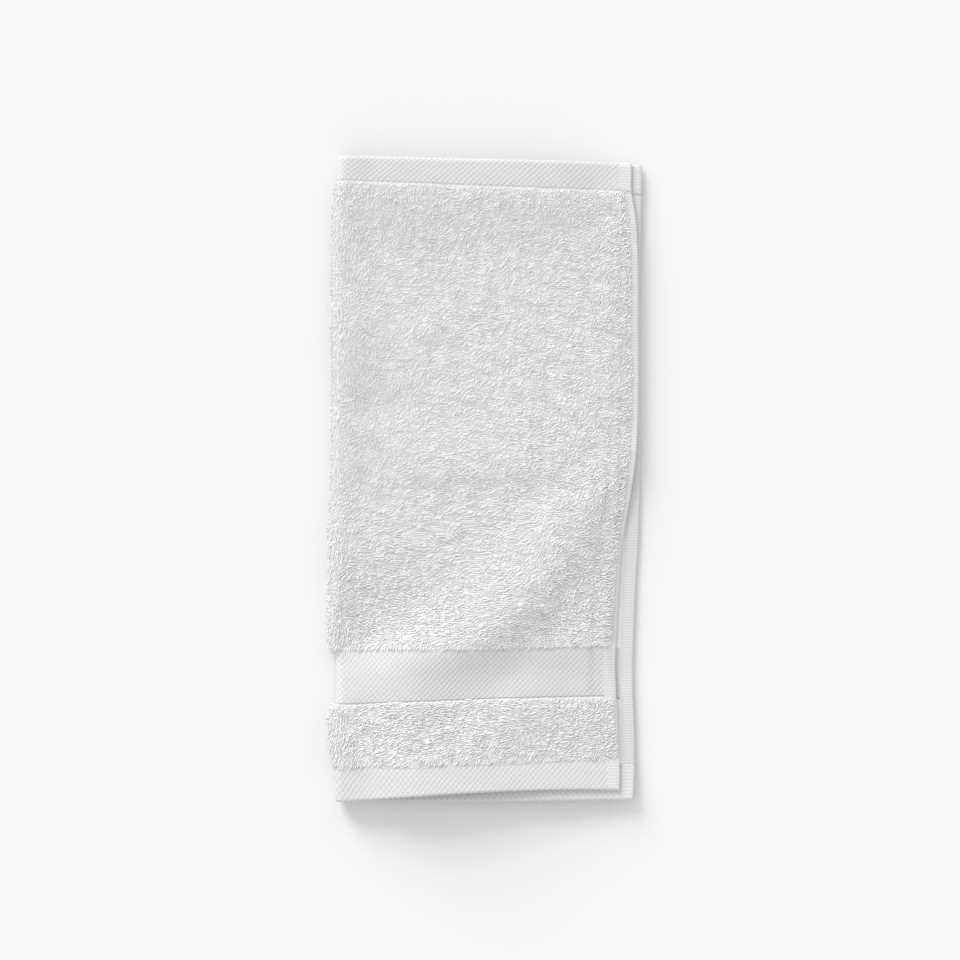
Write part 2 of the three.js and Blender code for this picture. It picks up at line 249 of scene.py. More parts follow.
def lower_height(x, y, along, to_edge):
    """Height of the lower layer's middle surface."""
    thinner = TERRY_HALF - HEM_HALF
    side_drop = SIDE_SINK * thinner * np.clip(1 - to_edge / SIDE_HEM_FACE, 0, 1)
    drop = np.maximum(np.maximum(END_SINK * thinner * hem_depth(along), side_drop), border_sag(along))
    curl = np.maximum(0, look_up(EDGE_CURL, "y", y, "rise")) * bell(to_edge / EDGE_CURL_REACH)
    return TERRY_HALF - drop + LIFT["lower"] * lift(x, y) + curl + end_curl(x, along)


def upper_height(x, y, along, to_edge, to_fold):
    """Height of the upper layer's middle surface: the folds, but never into the lower layer."""
    folds = ridge_height(x, y) + hump_height(x, y) + crease_height(x, y)
    ends = LIFT["upper"] * lift(x, y) + FOLD_RISE * bell(to_fold / FOLD_RISE_REACH)
    drop = EDGE_DROP * bell(to_edge / EDGE_DROP_REACH) + HEM_DROP * hem_depth(along) + border_sag(along)
    wanted = TOP_HEIGHT - TERRY_HALF + folds + ends - drop
    to_lower_edge = look_up(OUTLINE, "y", y, "lower") - x
    least = back_half(along, to_lower_edge) + back_half(along, to_edge) + LAYER_GAP
    resting = lower_height(x, y, along, to_lower_edge) + least
    near_edge = bell(np.maximum(0, to_edge - SETTLE_MARGIN) / look_up(SETTLE, "y", y, "reach"))
    settled = look_up(SETTLE, "y", y, "share") * near_edge
    wanted = wanted + end_curl(x, along)
    return soft_max(wanted + (resting - wanted) * settled, resting)


NOISE_WAVES = 28


def smooth_noise(x, y, size, rng):
    """Noise of about unit strength whose patches are about size across."""
    total = np.zeros_like(x)
    for _ in range(NOISE_WAVES):
        heading = rng.uniform(0, math.tau)
        number = math.tau / (size * rng.uniform(1.2, 3.2))
        total += np.cos(number * (x * math.cos(heading) + y * math.sin(heading)) + rng.uniform(0, math.tau))
    return total / math.sqrt(NOISE_WAVES / 2)


def flat_woven(along):
    """1 in the border and the end hems, which have no pile, and 0 in the terry."""
    to_end = np.minimum(along, CLOTH_LENGTH - along)
    in_border = ease(along - BORDER_START + 0.5) * ease(BORDER_END + 0.5 - along)
    return np.maximum(in_border, ease(END_HEM + 0.5 - to_end))


def line_y(along, place):
    """Y of a crosswise line, from the lower side edge (-1) over the fold (0) to the upper one (1)."""
    fold, lower, middle, upper = (
        look_up(CROSS_LINES, "from", along, column) for column in ("fold", "lower", "middle", "upper")
    )
    bow = middle - (fold + upper) / 2
    above = fold + (upper - fold) * place + 4 * bow * place * (1 - place)
    return np.where(place < 0, fold + (fold - lower) * place, above)


def lie(along, across):
    """The place in the part's frame of each point of the cloth's middle surface.

    The two layers run from their edges to the fold, and the fold between them is a half round.
    """
    along, across = np.broadcast_arrays(np.asarray(along, float), np.asarray(across, float))
    zero = np.zeros_like(along)
    fold_y = line_y(along, zero)
    fold_x = look_up(OUTLINE, "y", fold_y, "fold")
    lower_x = look_up(OUTLINE, "y", line_y(along, zero - 1), "lower")
    upper_x = look_up(OUTLINE, "y", line_y(along, zero + 1), "upper")
    low = lower_height(fold_x, fold_y, along, np.inf)
    high = upper_height(fold_x, fold_y, along, np.inf, 0)
    radius = (high - low) / 2
    centre_x = fold_x + radius

    quarter = np.pi * radius / 2
    share = (np.abs(across) - quarter) / (HALF_WIDTH - quarter)
    place = np.clip(share, 0, 1)
    on_top = across > 0
    edge_x = np.where(on_top, upper_x, lower_x)
    x = centre_x + (edge_x - centre_x) * share
    y = line_y(along, np.where(on_top, place, -place))
    to_edge = HALF_WIDTH - np.abs(across)
    near = np.maximum(fold_x, x - radius)
    z = np.where(
        on_top,
        upper_height(near, y, along, to_edge, x - centre_x),
        lower_height(near, y, along, to_edge),
    )
    lumpy = smooth_noise(x, y, LUMP_SIZE, np.random.default_rng(LUMP_SEED))
    lumps = LUMP_HEIGHT * (1 - SMOOTHER_WEAVE * flat_woven(along)) * lumpy
    z = z + np.where(on_top, lumps, 0)
    turn = across / quarter * np.pi / 2
    round_x = centre_x - radius * np.cos(turn)
    round_z = (low + high) / 2 + radius * np.sin(turn)
    in_fold = share < 0
    x = np.where(in_fold, round_x, x)
    y = np.where(in_fold, fold_y, y)
    z = np.where(in_fold, round_z, z)
    return np.stack([x + FRAME_SHIFT[0], y + FRAME_SHIFT[1], z], -1)


def lie_with_axes(along, across):
    """Places, and the unit directions along the cloth, across it and out of its face."""
    step = 0.4
    place = lie(along, across)
    lengthwise = lie(along + step, across) - lie(along - step, across)
    crosswise = lie(along, across + step) - lie(along, across - step)
    lengthwise /= np.linalg.norm(lengthwise, axis=-1, keepdims=True)
    out = np.cross(crosswise, lengthwise)
    out /= np.linalg.norm(out, axis=-1, keepdims=True)
    crosswise = np.cross(lengthwise, out)
    return place, lengthwise, crosswise, out


# ---- Meshes ----


def make_object(name, points, faces, slots=(), face_slots=None, flat_map=None, corner_map=None, shade=None):
    """A smooth mesh object from points in millimetres and faces, an array for each count of corners."""
    mesh = bpy.data.meshes.new(name)
    mesh.vertices.add(len(points))
    mesh.vertices.foreach_set("co", (np.asarray(points, float) * MM).astype(np.float32).ravel())
    corners = np.concatenate([np.asarray(group).ravel() for group in faces])
    totals = np.concatenate([np.full(len(group), np.shape(group)[1]) for group in faces])
    starts = np.concatenate([[0], np.cumsum(totals)[:-1]])
    mesh.loops.add(len(corners))
    mesh.loops.foreach_set("vertex_index", corners.astype(np.int32))
    mesh.polygons.add(len(totals))
    mesh.polygons.foreach_set("loop_start", starts.astype(np.int32))
    mesh.polygons.foreach_set("loop_total", totals.astype(np.int32))
    mesh.polygons.foreach_set("use_smooth", np.ones(len(totals), bool))
    for material in slots:
        mesh.materials.append(material)
    if face_slots is not None:
        mesh.polygons.foreach_set("material_index", np.asarray(face_slots, np.int32))
    if flat_map is not None:
        corner_map = np.asarray(flat_map)[corners]
    if corner_map is not None:
        layer = mesh.uv_layers.new(name="flat")
        layer.data.foreach_set("uv", np.asarray(corner_map, np.float32).ravel())
    if shade is not None:
        attribute = mesh.attributes.new("shade", "FLOAT", "POINT")
        attribute.data.foreach_set("value", np.asarray(shade, np.float32))
    mesh.update(calc_edges=True)
    piece = bpy.data.objects.new(name, mesh)
    bpy.context.scene.collection.objects.link(piece)
    return piece


def spread(*stops):
    """Numbers from stop to stop, each stretch with its own step: spread(0, (10, 1), (20, 2))."""
    values = [float(stops[0])]
    for end, step in stops[1:]:
        start = values[-1]
        count = max(1, round(abs(end - start) / step))
        values.extend(start + (end - start) * (k + 1) / count for k in range(count))
    return np.array(values)


# ---- The woven cloth ----

# half the woven cloth's thickness, and at the end hems
GROUND_HALF = 0.8
END_HEM_HALF = 0.95
END_HEM_BLEND = 0.8
# how far in the cloth is rounded off at its side edges, and at the bordered and the plain end
RIM_ROUND = 0.6
END_ROUNDS = (1.2, 2.4)
LEAST_ROUND = 0.02


def zone_half(along, across):
    """Half the woven cloth's thickness, without pile."""
    to_end = np.minimum(along, CLOTH_LENGTH - along)
    to_side = HALF_WIDTH - np.abs(across)
    half = np.maximum(GROUND_HALF, END_HEM_HALF * ease((END_HEM + 0.3 - to_end) / END_HEM_BLEND))
    end_round = np.where(along < CLOTH_LENGTH / 2, *END_ROUNDS)
    to_rim = np.minimum(to_end / end_round, to_side / RIM_ROUND)
    round_off = np.sqrt(np.clip(1 - (1 - np.clip(to_rim, 0, 1)) ** 2, LEAST_ROUND, 1))
    return half * round_off


def make_cloth(materials):
    """The woven cloth: a thin closed sheet with its ground, its woven bands and its hems as materials."""
    # each stretch ends at the first number and has steps of the second, finer where the cloth changes
    plain_hem = CLOTH_LENGTH - END_HEM
    rows = spread(
        0, (0.2, 0.2), (2.6, 0.4), (END_HEM - 0.6, 1.1), (END_HEM + 0.6, 0.4),
        (BORDER_START - 0.6, 2.8), (BORDER_START + 0.6, 0.4),
        (BORDER_END - 0.6, 1), (BORDER_END + 0.6, 0.4),
        (plain_hem - 0.6, 2.8), (plain_hem + 0.6, 0.4),
        (CLOTH_LENGTH - 2.6, 1.1), (CLOTH_LENGTH - 0.2, 0.4), (CLOTH_LENGTH, 0.2),
    )
    hem = HALF_WIDTH - SIDE_HEM
    columns = spread(
        -HALF_WIDTH, (0.2 - HALF_WIDTH, 0.2), (1 - HALF_WIDTH, 0.4), (-hem - 0.4, 1.1), (0.8 - hem, 0.4),
        (-10, 3.4), (10, 0.8),
        (hem - 0.8, 2), (hem + 0.4, 0.4), (HALF_WIDTH - 1, 1.1), (HALF_WIDTH - 0.2, 0.4), (HALF_WIDTH, 0.2),
    )
    along, across = np.meshgrid(rows, columns, indexing="ij")
    place, _, _, out = lie_with_axes(along, across)
    half = zone_half(along, across)[..., None]
    count = len(rows) * len(columns)
    points = np.concatenate([(place + out * half).reshape(-1, 3), (place - out * half).reshape(-1, 3)])
    flat = np.stack([across, along], -1).reshape(-1, 2)

    grid = np.arange(count).reshape(len(rows), len(columns))
    a, b, c, d = grid[:-1, :-1], grid[:-1, 1:], grid[1:, 1:], grid[1:, :-1]
    face = np.stack([a, b, c, d], -1).reshape(-1, 4)
    back = np.stack([a, d, c, b], -1).reshape(-1, 4) + count
    loop = np.concatenate([grid[0, :], grid[1:, -1], grid[-1, -2::-1], grid[-2:0:-1, 0]])
    after = np.roll(loop, -1)
    rim = np.stack([loop, loop + count, after + count, after], -1)

    middle_along = (along[:-1, :-1] + along[1:, 1:]) / 2
    middle_across = (across[:-1, :-1] + across[1:, 1:]) / 2
    to_end = np.minimum(middle_along, CLOTH_LENGTH - middle_along)
    woven = (to_end < END_HEM) | ((middle_along > BORDER_START) & (middle_along < BORDER_END))
    hemmed = HALF_WIDTH - np.abs(middle_across) < SIDE_HEM
    zone = np.where(hemmed, 2, np.where(woven, 1, 0)).ravel()
    face_slots = np.concatenate([zone, zone, np.full(len(rim), 2)])
    faces = [np.concatenate([face, back, rim])]
    return make_object("cloth", points, faces, materials, face_slots, np.concatenate([flat, flat]))


# ---- The pile ----

# which way the tips lie, in degrees from +X, at places on the face
FLOW = (
    # x, y, degrees
    (-78, 140, 262), (-60, 138, 236), (-20, 130, 216), (30, 130, 211), (66, 130, 208),
    (-78, 60, 266), (-58, 60, 228), (-30, 92, 192), (0, 60, 210), (40, 88, 196), (66, 50, 204),
    (-78, 10, 264), (-55, 15, 222), (-20, 0, 196), (20, 0, 196), (60, 5, 212),
    (-78, -40, 262), (-60, -45, 184), (-30, -35, 188), (10, -30, 200), (40, -30, 214), (64, -40, 208),
    (-78, -80, 268), (-60, -75, 176), (-30, -75, 192), (0, -80, 196), (30, -82, 180), (60, -80, 182),
    (-78, -130, 255), (-55, -130, 184), (-20, -130, 186), (20, -130, 192), (62, -130, 202),
)
# how wide each of them tells, and how sharply one gives way to the next
FLOW_REACH = 18.0
FLOW_SOFTNESS = 0.15
FLOW_POWER = 1.6


def flow_heading(x, y):
    """The table's directions, blended by nearness, in radians."""
    east, north = np.zeros_like(x), np.zeros_like(x)
    for place_x, place_y, degrees in FLOW:
        away = ((x - place_x) / FLOW_REACH) ** 2 + ((y - place_y) / FLOW_REACH) ** 2
        nearness = 1 / (away + FLOW_SOFTNESS) ** FLOW_POWER
        east += nearness * math.cos(math.radians(degrees))
        north += nearness * math.sin(math.radians(degrees))
    return np.arctan2(north, east)


SCATTER_JITTER = 0.4


def scatter(along_from, along_to, across_from, across_to, along_step, across_step, rng):
    """Places on the flat cloth, one in each cell of a brick pattern, shifted at random."""
    rows = max(1, round((along_to - along_from) / along_step))
    columns = max(1, round((across_to - across_from) / across_step))
    row, column = np.meshgrid(np.arange(rows), np.arange(columns), indexing="ij")
    shifts = rng.uniform(-0.5, 0.5, (2, rows, columns)) * SCATTER_JITTER
    along = along_from + (row + 0.5 + shifts[0]) / rows * (along_to - along_from)
    brick = column + 0.25 + 0.5 * (row % 2)
    across = across_from + (brick + shifts[1]) / columns * (across_to - across_from)
    return along.ravel(), across.ravel()


# a strand's cross-sections
RINGS = (
    # share of the run, share of the height, thickness
    (-0.1, -0.4, 0.85),
    (0.28, 1.0, 1.0),
    (1.0, 0.4, 0.65),
)
# where strands leave the weave, how flat they are, how far they bend, and how deep their tips dip
STRAND_BASE = 0.8
STRAND_FLATNESS = 0.7
STRAND_BEND = 0.07
TIP_DIP = (0.6, 1.3)
LOWEST = 0.02


def make_strands(name, roots, axes, heading, length, height, thick, rng, material, sides=4, side=1):
    """Strands of yarn in one mesh, each lying over to one side.

    heading is each strand's way in the plane of axes, length its run along the cloth, and height how far
    its top stands off the middle surface. No strand goes below the ground.
    """
    lengthwise, crosswise, out = axes
    count = len(roots)
    out = out * side
    run = crosswise * np.cos(heading)[:, None] + lengthwise * np.sin(heading)[:, None]
    sideways = np.cross(out, run)
    bend = rng.normal(0, STRAND_BEND, count) * length
    dip = rng.uniform(*TIP_DIP, count)
    rise = height - STRAND_BASE
    rings = []
    for k, (share, up, _) in enumerate(RINGS):
        level = up * rise if k < len(RINGS) - 1 else up * dip * rise
        sway = bend * math.sin(math.pi * min(max(share, 0), 1))
        risen = roots + out * (STRAND_BASE + level)[:, None]
        rings.append(risen + run * (share * length)[:, None] + sideways * sway[:, None])
    rings = np.stack(rings, 1)
    girth = thick[:, None] * np.array([ring[2] for ring in RINGS])
    tangent = np.gradient(rings, axis=1)
    tangent /= np.linalg.norm(tangent, axis=-1, keepdims=True)
    first = np.cross(tangent, sideways[:, None, :])
    first /= np.linalg.norm(first, axis=-1, keepdims=True)
    second = np.cross(tangent, first)
    around = np.arange(sides) * math.tau / sides
    turn = rng.uniform(0, math.tau, count)[:, None] + around
    cos, sin = np.cos(turn)[:, None, :, None], np.sin(turn)[:, None, :, None]
    oval = STRAND_FLATNESS * first[:, :, None] * cos + second[:, :, None] * sin
    shell = rings[:, :, None, :] + girth[:, :, None, None] * oval
    per_strand = len(RINGS) * sides
    points = shell.reshape(-1, 3)
    points[:, 2] = np.maximum(points[:, 2], LOWEST)

    quads, quad_map = [], []
    for ring in range(len(RINGS) - 1):
        for k in range(sides):
            near, far, after = ring * sides, (ring + 1) * sides, (k + 1) % sides
            left, right = k / sides, (k + 1) / sides
            quads.append([near + k, near + after, far + after, far + k])
            quad_map.append([(left, ring), (right, ring), (right, ring + 1), (left, ring + 1)])
    cap = [(len(RINGS) - 1) * sides + k for k in range(sides)]
    base = (np.arange(count) * per_strand)[:, None]
    faces = [(base[:, :, None] + np.array(quads)[None]).reshape(-1, 4), base + np.array(cap)[None]]
    corner_map = np.concatenate(
        [np.tile(np.array(quad_map, float).reshape(-1, 2), (count, 1)), np.full((count * sides, 2), 0.5)]
    )
    tone = np.repeat(rng.normal(0, 1, count), per_strand)
    return make_object(name, points, faces, [material], corner_map=corner_map, shade=tone)


# the loops' length, and how far their ways differ, at each Y
LOOPS = {"y": (-80, -20, 60), "length": (2.35, 2.05, 1.7), "jitter": (0.2, 0.24, 0.36)}
# how far apart they stand, along and across
FACE_STEPS = (0.95, 1.35)
FACE_HEIGHT = 1.55
FACE_THICK = 0.3
FACE_NOISE_SEED = 41
# how far their ways wander, in radians, over broad and over small patches
FACE_SWIRL, FACE_SWIRL_SIZE = 0.16, 16
FACE_TWIST, FACE_TWIST_SIZE = 0.2, 4
# uneven height: fine and broad fluff, and the gaps between clumps
FLUFF, FLUFF_SIZE = 0.12, 1.8
BROAD_FLUFF, BROAD_FLUFF_SIZE = 0.07, 5
GAP_DEPTH, GAP_SIZE, GAP_ABOVE = 0.4, 2.6, 0.9
HEIGHT_SPREAD, HEIGHT_LIMITS = 0.06, (0.6, 1.35)
LENGTH_SPREAD, LENGTH_LIMITS = 0.2, (0.5, 1.6)
THICK_LIMITS = (0.8, 1.2)
# loops stand higher on the fold, and more so in a fringe above the border
FOLD_FLUFF = dict(height=0.9, across=-2, reach=9)
FRINGE = dict(height=1.3, across=-6, reach=5, y=-57, half=38)
# the face's pile begins this far round the fold
PILE_FROM = -8
FACE_PILES = (
    # name, from, to, short of the upper side edge, seed
    ("pile_strip", END_HEM + 0.3, BORDER_START + 0.7, 1.5, 1),
    ("pile_lower", BORDER_END + 0.3, 157, 2.2, 2),
    ("pile_middle", 157, 236, 3.2, 3),
    ("pile_upper", 236, CLOTH_LENGTH - END_HEM + 0.6, 3.6, 4),
)

# tufts at the edges of the flat bands: how they lean along the cloth, how much lower they are, how far in
EDGE_TUFTS = (
    # along, lean, lowering, reach
    (END_HEM, -1.4, 0.25, 2.5),
    (BORDER_START, -0.6, 0.15, 1.6),
    (BORDER_END, -1.4, 0.25, 2.5),
    (CLOTH_LENGTH - END_HEM, -0.8, 0.2, 1.6),
)


def make_face_pile(name, along_from, along_to, margin, seed, material):
    """The loops of one stretch of the face, from round the fold to margin short of the upper side edge."""
    rng = np.random.default_rng(seed)
    along, across = scatter(along_from, along_to, PILE_FROM, HALF_WIDTH - margin, *FACE_STEPS, rng)
    place, *axes = lie_with_axes(along, across)
    x, y = place[:, 0], place[:, 1]
    noise = np.random.default_rng(FACE_NOISE_SEED)
    heading = flow_heading(x, y) + FACE_SWIRL * smooth_noise(x, y, FACE_SWIRL_SIZE, noise)
    twist = FACE_TWIST * smooth_noise(x, y, FACE_TWIST_SIZE, noise)
    heading += twist + look_up(LOOPS, "y", y, "jitter") * rng.normal(0, 1, len(x))
    fluff = smooth_noise(x, y, FLUFF_SIZE, noise) * FLUFF
    fluff += smooth_noise(x, y, BROAD_FLUFF_SIZE, noise) * BROAD_FLUFF
    fluff -= GAP_DEPTH * ease(smooth_noise(x, y, GAP_SIZE, noise) - GAP_ABOVE)
    uneven = np.clip(1 + rng.normal(0, LENGTH_SPREAD, len(x)), *LENGTH_LIMITS)
    length = look_up(LOOPS, "y", y, "length") * uneven
    height = FACE_HEIGHT * np.clip(1 + fluff + rng.normal(0, HEIGHT_SPREAD, len(x)), *HEIGHT_LIMITS)
    on_fold = bell((across - FOLD_FLUFF["across"]) / FOLD_FLUFF["reach"])
    fringed = bell((across - FRINGE["across"]) / FRINGE["reach"])
    above_border = bell((y - FRINGE["y"]) / FRINGE["half"])
    height = height + FOLD_FLUFF["height"] * on_fold + FRINGE["height"] * fringed * above_border
    thick = FACE_THICK * rng.uniform(*THICK_LIMITS, len(x))

    for edge, lean, lowering, reach in EDGE_TUFTS:
        near = np.exp(-np.abs(along - edge) / reach)
        heading = np.arctan2(np.sin(heading) + lean * near, np.cos(heading))
        height = height * (1 - lowering * near)
    return make_strands(name, place, axes, heading, length, height, thick, rng, material)


UNDER_SEED = 5
UNDER_NOISE_SEED = 43
UNDER_STEP = 2.2
UNDER_MARGIN = 3.6
UNDER_TO = -6
UNDER_HEADING = 3.4
UNDER_SWIRL, UNDER_SWIRL_SIZE = 0.6, 12
UNDER_JITTER = 0.5
UNDER_LENGTH = 3.6
UNDER_HEIGHT = 1.4
UNDER_HEIGHT_SPREAD, UNDER_HEIGHT_LIMITS = 0.12, (0.6, 1.3)
UNDER_THICK = 0.45


def make_under_pile(name, material):
    """The coarser loops under the lower layer, which lie flat on the ground."""
    rng = np.random.default_rng(UNDER_SEED)
    stretches = ((END_HEM + 0.5, BORDER_START - 0.5), (BORDER_END + 0.5, CLOTH_LENGTH - END_HEM - 0.5))
    places = [
        scatter(start, end, UNDER_MARGIN - HALF_WIDTH, UNDER_TO, UNDER_STEP, UNDER_STEP, rng)
        for start, end in stretches
    ]
    along, across = (np.concatenate(part) for part in zip(*places))
    place, *axes = lie_with_axes(along, across)
    x, y = place[:, 0], place[:, 1]
    noise = np.random.default_rng(UNDER_NOISE_SEED)
    heading = UNDER_HEADING + UNDER_SWIRL * smooth_noise(x, y, UNDER_SWIRL_SIZE, noise)
    heading += rng.normal(0, UNDER_JITTER, len(x))
    length = UNDER_LENGTH * np.clip(1 + rng.normal(0, LENGTH_SPREAD, len(x)), *LENGTH_LIMITS)
    uneven = np.clip(1 + rng.normal(0, UNDER_HEIGHT_SPREAD, len(x)), *UNDER_HEIGHT_LIMITS)
    height = UNDER_HEIGHT * uneven
    thick = UNDER_THICK * rng.uniform(*THICK_LIMITS, len(x))
    return make_strands(name, place, axes, heading, length, height, thick, rng, material, sides=3)


# ---- Sewing ----

STITCH_STEP = 2.9
STITCH_LENGTH = 2.3
STITCH_THICK = 0.16
STITCH_SEED = 6
# how far in the seams run, where they begin and how far short of the far end they stop
SIDE_SEAM = 6.8
END_SEAM = 13.8
CLOSING_SEAM = 1.5
SIDE_SEAM_FROM = 1.5
END_SEAM_FROM = 2.0
SEAMS_STOP = 3.0
# the side seams are pulled into the hem
SIDE_SEAM_LEVEL = 0.5


def make_stitches(name, side, material):
    """Rows of stitches along the side hems and across the end hems, on the face (1) or the back (-1)."""
    rng = np.random.default_rng(STITCH_SEED)
    down = np.arange(SIDE_SEAM_FROM, CLOTH_LENGTH - SEAMS_STOP, STITCH_STEP)
    over = np.arange(END_SEAM_FROM - HALF_WIDTH, HALF_WIDTH - SEAMS_STOP, STITCH_STEP)
    closing = np.arange(END_SEAM_FROM, END_HEM, STITCH_STEP)
    rows = [
        # along, across, whether it runs along the cloth, how far the woven face stands off the middle
        (down, HALF_WIDTH - SIDE_SEAM, True, SIDE_SEAM_LEVEL),
        (down, SIDE_SEAM - HALF_WIDTH, True, SIDE_SEAM_LEVEL),
        (END_SEAM, over, False, END_HEM_HALF),
        (CLOTH_LENGTH - END_SEAM, over, False, END_HEM_HALF),
        (closing, HALF_WIDTH - CLOSING_SEAM, True, END_HEM_HALF),
        (closing, CLOSING_SEAM - HALF_WIDTH, True, END_HEM_HALF),
        (closing + CLOTH_LENGTH - END_HEM, HALF_WIDTH - CLOSING_SEAM, True, END_HEM_HALF),
        (closing + CLOTH_LENGTH - END_HEM, CLOSING_SEAM - HALF_WIDTH, True, END_HEM_HALF),
    ]
    along, across, heading, base = [], [], [], []
    for row_along, row_across, lengthwise, stand in rows:
        row_along, row_across = np.broadcast_arrays(row_along, row_across)
        along.append(row_along)
        across.append(row_across)
        heading.append(np.full(len(row_along), math.pi / 2 if lengthwise else 0.0))
        base.append(np.full(len(row_along), stand))
    along, across, heading, base = (np.concatenate(part) for part in (along, across, heading, base))
    heading = heading + rng.normal(0, 0.04, len(heading))
    place, *axes = lie_with_axes(along, across)
    height = base + STITCH_THICK
    length = np.full(len(along), STITCH_LENGTH)
    thick = STITCH_THICK * rng.uniform(0.9, 1.1, len(along))
    return make_strands(name, place, axes, heading, length, height, thick, rng, material, side=side)


THREAD_POINTS = 40
THREAD_SIDES = 6
THREAD_CLIMB = 0.3
THREAD_THICK = 0.8 * STITCH_THICK
# the loose curls at the lower side hem
THREADS = (
    # name, along, in from the side edge, stand off the middle surface, size, turns, seed
    ("thread_end", 16, 0.3, -SIDE_SEAM_LEVEL, 0.9, 1.4, 8),
    ("thread_loop", 52, 7.4, -SIDE_SEAM_LEVEL - 0.2, 0.8, 1.1, 9),
)


def make_thread(name, along, inwards, stand, size, turns, seed, material):
    """A loose curl of sewing thread."""
    rng = np.random.default_rng(seed)
    at = lie_with_axes(np.array([along]), np.array([inwards - HALF_WIDTH]))
    centre, lengthwise, crosswise, out = (part[0] for part in at)
    share = np.linspace(0, 1, THREAD_POINTS)
    turn = share * turns * math.tau + rng.uniform(0, math.tau)
    reach = size * (0.5 + 0.5 * share)
    path = centre + out * (stand + THREAD_CLIMB * share)[:, None]
    path = path + crosswise * (reach * np.cos(turn))[:, None] + lengthwise * (reach * np.sin(turn))[:, None]
    forward = np.gradient(path, axis=0)
    forward /= np.linalg.norm(forward, axis=1, keepdims=True)
    across_way = np.cross(forward, out)
    upward = np.cross(across_way, forward)
    sides = THREAD_SIDES
    around = np.arange(sides) * math.tau / sides
    ring = across_way[:, None] * np.cos(around)[:, None] + upward[:, None] * np.sin(around)[:, None]
    points = (path[:, None] + THREAD_THICK * ring).reshape(-1, 3)
    base = (np.arange(len(share) - 1) * sides)[:, None]
    here = np.arange(sides)
    there = (here + 1) % sides
    tube = np.stack([base + here, base + there, base + there + sides, base + here + sides], -1)
    tube = tube.reshape(-1, 4)
    caps = np.array([here[::-1], here + (len(share) - 1) * sides])
    return make_object(name, points, [tube, caps], [material], shade=np.zeros(len(points)))


# ---- Materials ----

COTTON = {
    "Roughness": 0.95,
    "Specular IOR Level": 0.15,
    "Sheen Weight": 0.06,
    "Sheen Roughness": 0.6,
}
WHITEST = 0.97

# base colours, and how far each varies from place to place
PILE_COLOUR, PILE_SPREAD = 0.905, 0.025
THREAD_COLOUR, THREAD_SPREAD = 0.78, 0.02
# painted shade: the ground is darker than the pile's yarn, to darken the gaps between the loops
GROUND_COLOUR, GROUND_SPREAD = 0.84, 0.04
# painted shade: the border weave and the end hems are darker than the pile's yarn, for the small shadows
# among their floats
WEAVE_COLOUR, WEAVE_SPREAD = 0.645, 0.055
# painted shade: the side hems are darker than the pile's yarn, like the border weave, for the small shadows
# among their ribs
HEM_COLOUR, HEM_SPREAD = 0.695, 0.035
# painted light: the end hems are a little lighter than the border weave
END_HEM_LIGHTER = 0.02

# the bumps' heights, and how far apart the threads, beads and ribs stand
FIBRE_RELIEF, FIBRE_SIZE = 0.03, 0.22
GROUND_RELIEF, GROUND_REPEAT = 0.06, 0.9
WEAVE_RELIEF, BEAD_REPEAT = 0.1, 3.06
HEM_RELIEF, RIB_REPEAT = 0.3, 1.45
FUZZ_SIZE = 0.5

# painted shade: a dark line inside the border, next to the pile's edge
LIP_WIDTH = 0.3
LIP_FROM_START = 1.2
LIP_SHADE = -0.24
# unevenness of the floats: their rows are pulled across, and they fade here and there
PULL, PULL_SIZE = 0.9, 5
FADE, FADE_SIZE = 0.7, 9

# where the side hem meets the turned end hems: how steep the step is, and the painted shade along it, a
# dark line on the lower layer
STEP_STEEPNESS = 5
STEP_SHADE = -0.28
# the turned end hems stand up where along times way plus end is above 0
HEM_STEPS = ((-1, END_HEM), (1, END_HEM - CLOTH_LENGTH))


